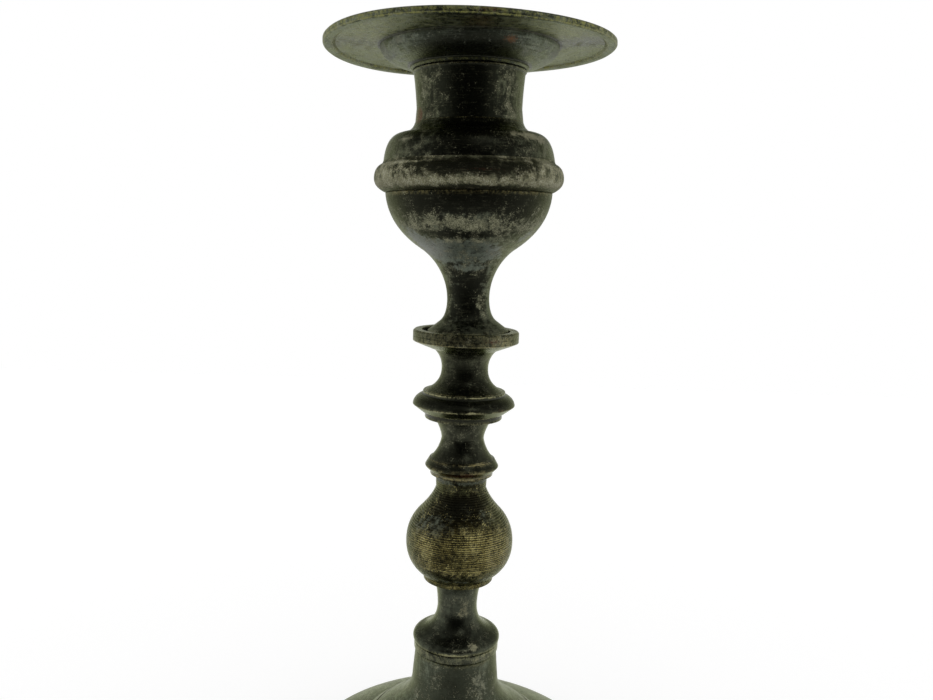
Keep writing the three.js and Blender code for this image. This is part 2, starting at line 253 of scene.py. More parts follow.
def turned(name, node, body, slot, outline, material, level=0.0, place=STEM_PLACE, closed=True,
           edge=0.28, wobble=0.05, seed=1, warp=None, **marks):
    """A smooth turned piece that stands for its CAD node, with masks stored on its points."""
    profile = resampled(softened(outline.points, edge, closed), closed)
    r = np.array([p[0] for p in profile])
    z = np.array([p[1] for p in profile])
    bend = np.array([p[2] for p in profile])
    theta = np.arange(AROUND) * 2 * np.pi / AROUND
    rr, tt = np.meshgrid(r, theta, indexing="ij")
    own = np.repeat(z[:, None], AROUND, 1)
    azimuth = (tt + np.pi) % (2 * np.pi) - np.pi
    past_bores = rr > BORE_LIMIT
    rr = rr + wobble * unevenness(azimuth, own + level, seed) * past_bores
    zz = own + level
    if warp is not None:
        zz = zz + warp(azimuth, rr)
    local = np.stack([rr * np.sin(tt), -rr * np.cos(tt), zz], -1).reshape(-1, 3)

    faces = turned_faces(r, closed)
    used = sorted({v for f in faces for v in f})
    remap = {v: k for k, v in enumerate(used)}
    faces = [tuple(remap[v] for v in f) for f in faces]
    local = local[used]
    at = np.array(place)
    world = local @ at[:3, :3].T + at[:3, 3]
    mesh = bpy.data.meshes.new(name)
    mesh.from_pydata((world * MM).tolist(), [], faces)
    mesh.polygons.foreach_set("use_smooth", [True] * len(faces))

    def pick(grid):
        return grid.reshape(-1)[used]

    store(mesh, "turn", local.astype(np.float32))
    values = {
        "edge": pick(np.repeat(np.maximum(bend, 0)[:, None], AROUND, 1)),
        "crease": pick(np.repeat(np.maximum(-bend, 0)[:, None], AROUND, 1)),
    }
    for kind in MASKS:
        values[kind] = mask(marks.get(kind, ()), pick(azimuth), pick(rr), pick(own))
    for kind, value in values.items():
        store(mesh, kind, value.astype(np.float32))
    mesh.update()
    mesh.validate()
    if signed_volume(mesh) < 0:
        mesh.flip_normals()
    obj = bpy.data.objects.new(name, mesh)
    bpy.context.scene.collection.objects.link(obj)
    obj.data.materials.append(material)
    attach(obj, body)
    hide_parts(node)
    return obj


def store(mesh, name, values):
    kind = "FLOAT_VECTOR" if values.ndim == 2 else "FLOAT"
    layer = mesh.attributes.new(name, kind, "POINT")
    layer.data.foreach_set("vector" if kind == "FLOAT_VECTOR" else "value", values.ravel())


def signed_volume(mesh):
    mesh.calc_loop_triangles()
    co = np.empty(len(mesh.vertices) * 3)
    mesh.vertices.foreach_get("co", co)
    co = co.reshape(-1, 3)
    tri = np.empty(len(mesh.loop_triangles) * 3, dtype=np.int64)
    mesh.loop_triangles.foreach_get("vertices", tri)
    a, b, c = (co[tri.reshape(-1, 3)[:, k]] for k in range(3))
    return float(np.einsum("ij,ij->i", a, np.cross(b, c)).sum())


# Materials


class Nodes:
    """Short calls for building a node tree."""

    def __init__(self, tree):
        self.tree = tree
        self.tree.nodes.clear()

    def add(self, kind, settings=None, **inputs):
        node = self.tree.nodes.new(kind)
        for key, value in (settings or {}).items():
            setattr(node, key, value)
        for key, value in inputs.items():
            self.feed(node.inputs[key.replace("_", " ")], value)
        return node

    def feed(self, socket, value):
        if isinstance(value, bpy.types.NodeSocket):
            self.tree.links.new(value, socket)
        else:
            socket.default_value = value

    def attribute(self, name, output="Fac"):
        return self.add("ShaderNodeAttribute", {"attribute_name": name}).outputs[output]

    def math(self, operation, a, b=0.0, clamp=False):
        node = self.add("ShaderNodeMath", {"operation": operation, "use_clamp": clamp})
        self.feed(node.inputs[0], a)
        self.feed(node.inputs[1], b)
        return node.outputs[0]

    def sum(self, *terms):
        """Adds up sockets, each with its weight and with the middle value that is taken off first."""
        total = 0.0
        for socket, weight, middle in terms:
            part = self.math("SUBTRACT", socket, middle) if middle else socket
            total = self.math("ADD", self.math("MULTIPLY", part, weight), total)
        return total

    def ramp(self, value, low, high, to_low=0.0, to_high=1.0):
        node = self.add("ShaderNodeMapRange", {"interpolation_type": "SMOOTHSTEP"})
        for socket, number in zip(node.inputs[:5], (value, low, high, to_low, to_high)):
            self.feed(socket, number)
        return node.outputs[0]

    def noise(self, where, scale, detail=5.0, roughness=0.6, stretch=(1, 1, 1), shift=0.0):
        mapping = self.add("ShaderNodeMapping")
        self.feed(mapping.inputs["Vector"], where)
        mapping.inputs["Scale"].default_value = stretch
        mapping.inputs["Location"].default_value = (shift, shift * 0.7, shift * 1.3)
        node = self.add("ShaderNodeTexNoise")
        self.feed(node.inputs["Vector"], mapping.outputs[0])
        for key, value in (("Scale", scale), ("Detail", detail), ("Roughness", roughness)):
            node.inputs[key].default_value = value
        return node.outputs[0]

    def blend(self, factor, a, b, kind="MIX"):
        node = self.add("ShaderNodeMix", {"data_type": "RGBA", "blend_type": kind, "clamp_factor": True})
        self.feed(node.inputs[0], factor)
        self.feed(node.inputs[6], a)
        self.feed(node.inputs[7], b)
        return node.outputs[2]


def srgb(r, g, b):
    """A colour written as it shows, 0 to 255, as the linear values that a shader takes."""
    out = []
    for c in (r, g, b):
        c /= 255
        out.append(c / 12.92 if c <= 0.04045 else ((c + 0.055) / 1.055) ** 2.4)
    return (*out, 1.0)


# Near-black for painted shade and for darker patches
SHADE_AND_DARK_PATCH = srgb(18, 18, 13)
GRIME = srgb(12, 12, 9)
BARE_METALLIC = 0.82
SPECULAR_TINT = (0.95, 1.0, 0.70, 1.0)
LINE_PERIOD = 0.64
BUMP_STRENGTH = 0.8


def scaled(colour, share):
    return srgb(*(share * c for c in colour))


class Patina:
    """The layers of an old brass surface, from the oxide up, with painted shade, highlights and glints among
    them. Each layer mixes itself over those below.
    """

    def __init__(self, n, flat, shift):
        self.n = n
        self.where = n.attribute("turn", "Vector")
        spun = self.by_radius(flat) if flat else self.where
        self.cloud = n.noise(self.where, 0.13, 5.0, 0.6, shift=11.3 + shift)
        self.mottle = n.noise(self.where, 0.55, 6.0, 0.7, shift=3.7 + shift)
        self.grain = n.noise(self.where, 2.4, 5.0, 0.72, shift=7.9 + shift)
        self.drips = n.noise(self.where, 0.9, 4.0, 0.6, stretch=(1, 1, 0.22), shift=5.1 + shift)
        self.marks = n.noise(spun, 1.0, 4.0, 0.6, stretch=(0.10, 0.10, 1.9), shift=1.9 + shift)
        self.patch = n.noise(self.where, 0.34, 6.0, 0.74, shift=6.6 + shift)
        self.dash = n.noise(spun, 1.0, 3.0, 0.55, stretch=(0.30, 0.30, 2.8), shift=8.8 + shift)
        self.flecks = n.noise(self.where, 1.25, 4.0, 0.75, shift=9.4 + shift)
        self.tiny = n.noise(self.where, 3.4, 2.0, 0.5, shift=4.4 + shift)

    def by_radius(self, share):
        """Places whose height also grows with the radius, so that turning marks show on flat faces."""
        n = self.n
        axes = n.add("ShaderNodeSeparateXYZ", Vector=self.where).outputs
        x_square = n.math("MULTIPLY", axes["X"], axes["X"])
        y_square = n.math("MULTIPLY", axes["Y"], axes["Y"])
        radius = n.math("SQRT", n.math("ADD", x_square, y_square))
        height = n.math("ADD", axes["Z"], n.math("MULTIPLY", radius, share))
        return n.add("ShaderNodeCombineXYZ", X=axes["X"], Y=axes["Y"], Z=height).outputs[0]

    def add_oxide(self, dark, light, down, turning, contrast):
        """Near-black to olive, streaked down the piece and round it, and darker where the shade mask paints
        shade.
        """
        n = self.n
        tone = n.sum((self.cloud, 0.5, 0), (self.mottle, 0.5, 0), (self.drips, down, 0.5),
                     (self.marks, turning, 0.5), (n.attribute("shade"), -0.25, 0))
        self.colour = n.blend(n.ramp(tone, 0.50 - contrast, 0.50 + contrast), srgb(*dark), srgb(*light))

    def add_wash(self, film):
        """Smooth bluish-grey film."""
        n = self.n
        region = n.sum((n.attribute("cool"), 1.0, 0), (self.mottle, 1.2, 0.5), (self.cloud, 0.6, 0.5))
        self.wash = n.ramp(region, 0.35, 0.65)
        thin = n.ramp(n.sum((self.mottle, 0.6, 0), (self.grain, 0.4, 0)), 0.42, 0.58)
        veil = n.blend(thin, scaled(film, 0.72), scaled(film, 1.08))
        self.colour = n.blend(n.math("MULTIPLY", self.wash, 0.85), self.colour, veil)

    def add_bloom(self, bloom, cover):
        """Soft patches and short turning scratches."""
        n = self.n
        patchy = n.sum((self.patch, 1.0, 0), (n.attribute("pale"), 0.12, 0),
                       (n.attribute("shade"), -0.10, 0))
        scratch = n.math("MULTIPLY", n.ramp(self.dash, 0.54, 0.62), n.ramp(self.patch, 0.42, 0.6))
        self.bloom = n.math("MAXIMUM", n.ramp(patchy, 0.50, 0.64), n.math("MULTIPLY", scratch, 0.8))
        self.colour = n.blend(n.math("MULTIPLY", self.bloom, cover), self.colour, srgb(*bloom))

    def add_shade(self):
        """Painted shade where the shade mask is, and darker patches at random, towards near-black."""
        n = self.n
        dim = n.ramp(n.sum((n.attribute("shade"), 0.8, 0), (self.patch, 1.2, 0.5)), 0.15, 1.1)
        self.colour = n.blend(n.math("MULTIPLY", dim, 0.75), self.colour, SHADE_AND_DARK_PATCH)

    def add_scurf_and_highlights(self, pale, speckle, cover):
        """Pale scurf, speckled at its edges. On the shoulder, the belt and the pan, some pale marks are
        painted light: highlights and reflections.
        """
        n = self.n
        region = n.sum((n.attribute("pale"), 0.62, 0), (self.patch, 1.8, 0.5), (self.mottle, 1.5, 0.5),
                       (self.drips, 0.5, 0.5))
        region = n.ramp(region, 0.34 - speckle, 0.85 - speckle)
        specks = n.ramp(n.sum((self.flecks, 0.6, 0), (self.grain, 0.4, 0), (region, 0.18, 0.5)), 0.44, 0.60)
        among = n.ramp(self.patch, 0.42, 0.60, 0.0, cover)
        dots = n.math("MULTIPLY", n.ramp(self.flecks, 0.58, 0.70), among)
        self.scurf_and_highlight = n.math("MAXIMUM", n.math("MULTIPLY", region, specks), dots)
        scurf_and_highlight_tint = n.blend(n.ramp(self.grain, 0.40, 0.60), scaled(pale, 0.72), srgb(*pale))
        self.colour = n.blend(n.math("MULTIPLY", self.scurf_and_highlight, 0.9), self.colour, scurf_and_highlight_tint)

    def add_wear_and_glint_lines(self, wear_and_glint_colour):
        """Worn metal on edges and rubbed places, and painted glint lines on edges. Strong marks are whole,
        and weak ones broken up.
        """
        n = self.n
        rubbed_and_glint = n.sum((n.attribute("edge"), 0.22, 0), (n.attribute("worn"), 1.0, 0))
        gaps = n.ramp(n.sum((self.mottle, 0.5, 0), (self.flecks, 0.5, 0)), 0.45, 0.56)
        broken = n.math("MULTIPLY", rubbed_and_glint, gaps)
        self.rubbed_and_glint = n.math("MAXIMUM", broken, n.math("SUBTRACT", rubbed_and_glint, 0.9), clamp=True)
        self.colour = n.blend(self.rubbed_and_glint, self.colour, srgb(*wear_and_glint_colour))

    def add_glints(self, gleam, sparkle):
        """Painted glints: tiny bright specks."""
        n = self.n
        lit = n.sum((self.tiny, 1.0, 0), (n.attribute("pale"), 0.11, 0), (n.attribute("worn"), 0.11, 0),
                    (self.patch, 0.9, 0.5), (n.attribute("shade"), -0.08, 0))
        self.glint = n.ramp(lit, 0.64, 0.74, 0.0, sparkle)
        self.colour = n.blend(self.glint, self.colour, srgb(*gleam))

    def add_rust(self, rust):
        """Red-brown spots."""
        n = self.n
        red = n.ramp(n.sum((n.attribute("rust"), 1.0, 0), (self.grain, 1.4, 0.5)), 0.40, 0.75)
        self.colour = n.blend(n.math("MULTIPLY", red, 0.8), self.colour, srgb(*rust))

    def add_grime(self):
        """Dirt in the creases."""
        n = self.n
        self.grime = n.ramp(n.sum((n.attribute("crease"), 1.0, 0), (self.mottle, 0.6, 0.5)), 0.25, 0.9)
        self.colour = n.blend(n.math("MULTIPLY", self.grime, 0.75), self.colour, GRIME)

    def add_turned_lines(self, dark, gleam):
        """Fine ridges round the piece, bright in the glint colour under the wear marks, which include
        painted glints. Returns their height.
        """
        n = self.n
        level = n.add("ShaderNodeSeparateXYZ", Vector=self.where).outputs["Z"]
        phase = n.sum((level, 2 * math.pi / LINE_PERIOD, 0), (self.marks, 7.0, 0), (self.mottle, 2.5, 0))
        comb = n.math("MULTIPLY_ADD", n.math("SINE", phase), 0.5)
        comb.node.inputs[2].default_value = 0.5
        ridge = n.math("MULTIPLY", n.ramp(comb, 0.55, 0.9), n.ramp(self.grain, 0.42, 0.58))
        ridge = n.math("MULTIPLY", ridge, n.ramp(n.attribute("worn"), 0.1, 0.7, 0.0, 0.8))
        self.colour = n.blend(ridge, self.colour, srgb(*gleam))
        worn_groove = n.ramp(n.attribute("worn"), 0.1, 0.7, 0.0, 0.9)
        groove = n.math("MULTIPLY", n.ramp(comb, 0.45, 0.05), worn_groove)
        self.colour = n.blend(groove, self.colour, srgb(*dark))
        return comb

    def roughness(self, gloss):
        rough = self.n.sum((self.grain, 0.25, 0.5), (self.mottle, 0.5, 0.5), (self.scurf_and_highlight, 0.3, 0),
                           (self.bloom, 0.12, 0), (self.rubbed_and_glint, -0.05, 0))
        return self.n.math("ADD", rough, gloss, clamp=True)

    def metallic(self):
        """Bare oxide is metallic. What lies on it is not."""
        metal = self.n.sum((self.scurf_and_highlight, -0.75, 0), (self.bloom, -0.25, 0), (self.grime, -0.5, 0),
                           (self.wash, -0.75, 0), (self.rubbed_and_glint, -0.6, 0), (self.glint, -0.5, 0))
        return self.n.math("ADD", metal, BARE_METALLIC, clamp=True)

    def height(self, pits):
        return self.n.sum((self.grain, 0.2 + 0.5 * pits, 0), (self.flecks, pits, 0), (self.mottle, 0.7, 0),
                          (self.marks, 0.5, 0), (self.scurf_and_highlight, 0.25, 0))


def patina(name, dark, light, pale=(140, 136, 108), wear_and_glint_colour=(150, 138, 88), rust=(84, 44, 30),
           bloom=(88, 88, 68), film=(92, 99, 87), gleam=(190, 188, 156), cover=0.5, speckle=0.0,
           turning=0.25, down=0.25, contrast=0.10, sparkle=0.3, gloss=0.34, pits=0.5, relief=0.14,
           lines=0.0, flat=0.0, shift=0.0):
    """Old brass: near-black oxide with olive mottling, pale scurf, wear on edges and grime in the creases,
    with painted shade, highlights and glints.
    """
    material = bpy.data.materials.new(name)
    material.use_nodes = True
    n = Nodes(material.node_tree)
    layers = Patina(n, flat, shift)
    layers.add_oxide(dark, light, down, turning, contrast)
    layers.add_wash(film)
    layers.add_bloom(bloom, cover)
    layers.add_shade()
    layers.add_scurf_and_highlights(pale, speckle, cover)
    layers.add_wear_and_glint_lines(wear_and_glint_colour)
    layers.add_glints(gleam, sparkle)
    layers.add_rust(rust)
    layers.add_grime()
    height = layers.height(pits)
    if lines:
        height = n.math("ADD", height, n.math("MULTIPLY", layers.add_turned_lines(dark, gleam), lines))
    bump = n.add("ShaderNodeBump", Height=height)
    bump.inputs["Strength"].default_value = BUMP_STRENGTH
    bump.inputs["Distance"].default_value = relief * MM

    surface = n.add("ShaderNodeBsdfPrincipled")
    n.feed(surface.inputs["Base Color"], layers.colour)
    n.feed(surface.inputs["Metallic"], layers.metallic())
    n.feed(surface.inputs["Roughness"], layers.roughness(gloss))
    surface.inputs["Specular IOR Level"].default_value = 0.5
    surface.inputs["Specular Tint"].default_value = SPECULAR_TINT
    n.feed(surface.inputs["Normal"], bump.outputs[0])
    end = n.add("ShaderNodeOutputMaterial")
    n.feed(end.inputs["Surface"], surface.outputs[0])
    return material


# Foot

foot_metal = patina("foot_patina", (62, 66, 54), (108, 115, 98), pale=(150, 152, 130),
                    wear_and_glint_colour=(120, 116, 78), speckle=0.06, down=0.5, gloss=0.32, relief=0.08, pits=0.3,
                    contrast=0.14, cover=0.35, sparkle=0.5)
foot = Outline(FOOT_RADIUS, 0)
foot.line((FOOT_RADIUS, 4.6), (62, 5.6)).curve(49, 16.5, (0.9, 0.1)).line((49, 18.5, 0.8))
foot.curve(30.2, 27.7, (0.46, 0.63)).line((30.2, 28.5), (27.4, 30.7), (26.9, 30.8), (26.5, 31.4))
foot.line((22.5, 34.3)).curve(13.8, 45.5, (0.94, 0.46)).line((13, FOOT_TALL), (ROD_BORE, FOOT_TALL))
foot.line((ROD_BORE, FOOT_TALL - FOOT_WEB), (10.5, FOOT_TALL - FOOT_WEB), (10.5, 31.9))
foot.line((27.8, 25.3), (46.6, 16.1), (46.6, 3.2), (59, 1), (59, 0))
turned("foot", "base_shell", "stem", "foot_brass", foot, foot_metal, edge=0.4, wobble=0.06, seed=3,
       pale=(Spot(-28, 49, 3, 4, 0.9), Spot(36, 48, 4, 6, 1.0), Spot(60, 44, 4, 5, 0.5),
             Spot(-60, 42, 4, 5, 0.6), Spot(-20, 54, 3, 0.7, 0.9), Spot(60, 24, 14, 2, 0.5),
             Spot(-70, 24, 14, 2, 0.4)),
       # Painted shade at the front and in the step at 30.9 mm; the neck is darker all round and at the
       # right.
       shade=(Spot(0, 50, 5, 8, 0.5), Ring(47, 9, 0.5), Spot(75, 49, 6, 8, 0.6), Ring(30.9, 0.6, 1.2)),
       worn=(Ring(54.6, 0.3, 0.35),))

# Foot collar

collar_metal = patina("collar_patina", (38, 40, 33), (76, 80, 67), wear_and_glint_colour=(160, 158, 116), gloss=0.20,
                      relief=0.07, cover=0.2, contrast=0.16, shift=1.3)
collar = Outline(ROD_BORE, 0)
collar.line((13.15, 0), (13.5, 0.5), (13.55, 2.7), (13.1, 2.95, 0.1), (13.75, 3.2), (13.9, 4.1))
collar.curve(11.4, 6.3, (0, 0.7)).curve(6.3, 14.2, (0.96, 0.28)).curve(7.9, COLLAR_TALL, (0, 0.57))
collar.line((ROD_BORE, COLLAR_TALL))
turned("collar", "foot_collar", "stem", "collar_brass", collar, collar_metal, level=COLLAR_LEVEL, seed=4,
       pale=(Spot(24, 5.6, 2.2, 0.9, 1.5), Spot(-1, 5.0, 2.6, 0.7, 1.2), Spot(29, 1.6, 2.2, 0.9, 1.3),
             Spot(20, 15, 2.5, 3, 1.1), Spot(-40, 17, 2, 4, 0.5)),
       # Painted shade at the front.
       shade=(Spot(0, 9, 5, 5, 0.8),),
       # Among the wear marks, a painted glint line lies on the lip near the front.
       worn=(Ring(1.6, 1.0, 0.16), Spot(-4, 3.3, 4.5, 0.16, 2.6), Ring(3.2, 0.2, 0.35),
             Spot(-60, 2.2, 6, 0.6, 0.4), Spot(60, 2.2, 6, 0.8, 0.5)))

# Ball knop

ball_metal = patina("ball_patina", (24, 21, 10), (84, 84, 56), pale=(156, 146, 92), wear_and_glint_colour=(130, 116, 54),
                    gloss=0.24, lines=2.2, speckle=0.10, relief=0.10, sparkle=0.9, gleam=(194, 182, 116),
                    shift=2.6)
ball = Outline(ROD_BORE, 0)
ball.line((11, 0), (11, 1.4), (10.5, 1.4), (11.7, 2.0)).curve(16.9, 12.4, (1, 0.38))
ball.curve(13.3, 22.1, (0, 0.58)).curve(7.9, 30, (0.8, 0.56)).line((8.1, BALL_TALL), (ROD_BORE, BALL_TALL))
turned("ball", "ball_knop", "stem", "ball_brass", ball, ball_metal, level=BALL_LEVEL, seed=5,
       worn=(Spot(6, 17.0, 7, 3.2, 0.65), Spot(38, 15, 8, 4, 0.8), Spot(-42, 16, 6, 3, 0.6),
             Spot(10, 8.5, 16, 1.6, 0.6), Spot(30, 11, 8, 3, 0.5), Spot(-30, 12, 6, 3, 0.4),
             Ring(1.2, 0.25, 0.4), Spot(160, 14, 20, 6, 0.5)),
       pale=(Spot(25, 19, 6, 2.5, 0.7), Spot(12, 7.2, 9, 1.2, 0.9), Spot(-40, 7.6, 8, 1.5, 0.6),
             Spot(50, 12, 8, 5, 0.6), Spot(-45, 12, 6, 4, 0.5)),
       rust=(Spot(30, 10, 5, 3, 0.45), Spot(-20, 12, 5, 3, 0.35), Spot(60, 10, 6, 5, 0.45),
             Spot(0, 20.5, 4, 1.5, 0.35)),
       # Painted shade at the front near the top, and darker places at the sides.
       shade=(Spot(0, 26, 5, 2.5, 1.6), Spot(-25, 20, 6, 5, 0.6), Spot(-18, 15, 3, 7, 1.0),
              Spot(45, 12, 6, 3, 0.5), Spot(-45, 8, 6, 3, 0.5), Spot(30, 22, 4, 3, 0.4)),
       cool=(Spot(-40, 20, 12, 6, 0.55), Ring(33.0, 1.2, 0.6), Spot(40, 23, 6, 4, 0.35),
             Ring(3.6, 1.0, 0.5)))

# Lower knop

knop_metal = patina("lower_knop_patina", (30, 31, 24), (66, 68, 55), wear_and_glint_colour=(158, 146, 98), gloss=0.20,
                    relief=0.08, cover=0.15, contrast=0.18, shift=3.9)
knop = Outline(ROD_BORE, 0)
knop.line((9.8, 0), (9.8, 1, 0.2), (11.6, 2.8, 0.5), (10.2, 5.2), (9.8, 5.25))
knop.curve(6.6, 11.6, (0.82, 0.44)).curve(9, LOWER_KNOP_TALL, (0, 0.34)).line((ROD_BORE, LOWER_KNOP_TALL))
turned("lower_knop_ring", "lower_knop", "stem", "lower_knop_brass", knop, knop_metal,
       level=LOWER_KNOP_LEVEL, seed=6,
       # A painted glint on the upper edge at the right, among wear lines.
       worn=(Ring(0.95, 0.16, 1.7), Spot(24, 2.2, 5, 0.7, 0.4), Spot(31, 5.25, 2.2, 0.15, 2.4),
             Ring(5.2, 0.2, 0.2)),
       # Painted shade at the front and on both slopes of the knop ring.
       shade=(Spot(0, 8, 4, 3, 0.8), Ring(3.9, 0.9, 0.5), Ring(1.9, 0.7, 0.7)),
       pale=(Spot(30, 12, 3, 4, 0.6), Spot(-40, 14, 3, 3, 0.4)),
       rust=(Spot(10, 2.8, 3, 1, 0.4), Spot(-10, 1.8, 12, 0.8, 0.75)))

# Upper knop

upper_metal = patina("upper_knop_patina", (26, 27, 21), (58, 60, 48), wear_and_glint_colour=(160, 156, 116), gloss=0.20,
                     relief=0.08, cover=0.15, contrast=0.18, sparkle=0.15, shift=5.2)
upper = Outline(ROD_BORE, 0)
upper.line((12, 0), (12, 1.8), (12.6, 1.85), (13.0, 2.1), (15.9, 4.3, 0.6)).curve(12.8, 7.6, (0.1, 0.7))
upper.line((12.8, UPPER_KNOP_TALL, 0.35), (ROD_BORE, UPPER_KNOP_TALL))
turned("upper_knop_ring", "upper_knop", "stem", "upper_knop_brass", upper, upper_metal,
       level=UPPER_KNOP_LEVEL, seed=7,
       # Painted glints on the top edge at the right and on the bead's edge near the front, among wear lines.
       worn=(Ring(1.95, 0.15, 1.75), Spot(20, 8.45, 3.4, 0.12, 1.7), Spot(-42, 8.45, 5, 0.12, 1.1),
             Ring(8.45, 0.12, 0.4), Spot(9, 4.5, 1.8, 0.22, 2.4), Spot(-20, 4.2, 4, 0.2, 1.0),
             Ring(4.3, 0.3, 0.3)),
       # Painted shade on the bead's upper slope and on its underside.
       shade=(Ring(6.3, 1.2, 0.6), Ring(3.1, 0.8, 0.8)),
       rust=(Spot(45, 4.5, 3, 1.5, 0.5),))

# Dished disc

disc_metal = patina("disc_patina", (30, 31, 23), (74, 76, 60), wear_and_glint_colour=(156, 148, 104), gloss=0.24, pits=0.6,
                    relief=0.09, cover=0.25, contrast=0.15, shift=6.5)
disc = Outline(ROD_BORE, 0)
disc.line((12, 0, 0.5)).curve(7.2, 6.9, (1, 0.32)).curve(9.6, 12.7, (0, 0.62))
disc.line((14.7, 14.7), (16.3, 15.4), (16.3, 16.9), (16.2, 17.0, 0.05), (16.3, 17.1))
disc.line((16.3, 18.4), (15.8, 18.9), (13.6, 18.9), (13.6, DISC_FLOOR), (ROD_BORE, DISC_FLOOR))
turned("disc", "dished_disc", "stem", "disc_brass", disc, disc_metal, level=DISC_LEVEL, seed=8,
       worn=(Ring(15.42, 0.10, 1.45), Ring(18.7, 0.2, 0.3), Spot(45, 17, 4, 1.6, 0.4)),
       # Painted shade at the front.
       shade=(Spot(0, 4, 6, 5, 0.9), Spot(0, 17, 9, 2, 0.5)),
       pale=(Spot(38, 17.2, 5, 1.3, 0.9), Spot(-70, 17, 5, 1.5, 0.4), Spot(40, 8, 3, 4, 0.5)),
       rust=(Spot(30, 17, 5, 1.5, 0.6),))

# Urn

bowl_metal = patina("bowl_patina", (20, 21, 16), (86, 90, 75), pale=(136, 136, 108), gloss=0.32,
                    speckle=0.08, bloom=(92, 92, 72), cover=0.6, relief=0.12, contrast=0.07, sparkle=0.6,
                    film=(106, 114, 102), shift=7.8)
bowl = Outline(3.8, 0)
bowl.line((12.4, 0), (12.4, 2.3), (8.9, 5)).curve(6.45, 11.8, (0.96, 0.25)).curve(9.8, 22.5, (0, 0.54))
bowl.curve(14.6, 27.2, (0.44, 0.64)).curve(25.1, BOWL_TALL, (0.93, 0.4)).line((23.1, BOWL_TALL))
bowl.curve(0, 27.2, (0.07, 0.6)).line((0, 12.3), (3.8, 12.3))
turned("bowl", "urn_bowl", "urn", "bowl_brass", bowl, bowl_metal, place=URN_PLACE, seed=9,
       pale=(Spot(-10, 34.8, 12, 2.6, 1.1), Spot(28, 34.5, 10, 3.2, 0.75), Spot(-50, 35, 9, 3, 0.8),
             Spot(0, 29.8, 9, 0.6, 1.1), Spot(60, 35, 8, 4, 0.75), Spot(27, 10.5, 1.2, 3, 0.9),
             Spot(4, 19.5, 3, 0.3, 1.3)),
       # Painted shade down the front, and darker places at the sides.
       shade=(Spot(0, 41, 26, 3.2, 1.6), Spot(0, 31.5, 12, 0.9, 0.9), Spot(0, 12, 4, 6, 0.9),
              Spot(44, 36.5, 4.5, 3, 1.7), Spot(-58, 37, 4, 4, 0.9), Spot(-35, 39, 4, 2, 0.6),
              Spot(0, 18, 5, 2, 0.7)),
       cool=(Spot(-8, 26.5, 13, 3.6, 1.15), Spot(-55, 31, 7, 5, 0.6), Spot(60, 31, 5, 3, 0.5),
             Spot(0, 21.5, 8, 1.0, 0.6)),
       rust=(Spot(-38, 38, 5, 3, 0.3),))

belt_metal = patina("belt_patina", (34, 34, 24), (112, 113, 90), pale=(158, 156, 124), gloss=0.40,
                    speckle=0.24, bloom=(128, 124, 98), cover=0.75, pits=1.2, relief=0.3, sparkle=0.7,
                    gleam=(206, 204, 176), shift=9.1)
belt = Outline(23.1, -SEAM)
belt.line((24.9, -SEAM, 0.1)).curve(28.4, 3.8, (1, 0.36)).curve(26.3, 7.9, (0, 0.72))
belt.curve(25.65, BELT_TALL, (0.8, 0.3)).line((23.8, BELT_TALL))
turned("belt", "urn_belt", "urn", "belt_brass", belt, belt_metal, level=BELT_LEVEL, place=URN_PLACE,
       seed=10,
       # The pale ring on the lower half is scurf and also painted light from below.
       pale=(Ring(1.9, 1.1, 1.1), Spot(-58, 5, 12, 3.2, 0.9), Spot(58, 5, 11, 3.2, 0.9),
             Spot(-45, 7.4, 9, 0.5, 0.9), Spot(150, 5, 20, 3, 0.6), Spot(-130, 5, 16, 3, 0.7)),
       # Painted shade at the front and along the seam at the bottom.
       shade=(Spot(0, 5.8, 16, 1.7, 1.5), Ring(0.1, 0.6, 0.9)),
       rust=(Spot(8, 5.0, 14, 0.8, 0.45),))

shoulder_metal = patina("shoulder_patina", (20, 21, 16), (82, 85, 69), gloss=0.24, relief=0.10,
                        shift=10.4)
shoulder = Outline(23.6, 0)
shoulder.line((25.6, 0, 0.05)).curve(20.4, 8.1, (0.17, 0.93)).curve(16.15, SHOULDER_TALL, (0.8, 0.12))
shoulder.line((NECK_BORE, SHOULDER_TALL), (NECK_BORE, 6.1), (18.4, 6.1))
turned("shoulder", "urn_shoulder", "urn", "shoulder_brass", shoulder, shoulder_metal,
       level=SHOULDER_LEVEL, place=URN_PLACE, seed=11,
       # The strong pale spots on either side, at about 45 to 60 degrees, are painted highlights; the rest is
       # scurf.
       pale=(Spot(45, 6.4, 8, 0.9, 1.7), Spot(58, 5.0, 6, 1.4, 1.4), Spot(42, 2.2, 3, 0.6, 1.1),
             Spot(-46, 5.2, 6, 0.6, 1.2), Spot(-36, 2.6, 4, 0.5, 0.7), Spot(-60, 1, 6, 2, 0.4),
             Spot(150, 5, 10, 2, 0.7)),
       # Painted shade at the front.
       shade=(Spot(0, 5, 10, 8, 1.0),),
       rust=(Spot(-66, 11.2, 2.4, 0.8, 1.2),))

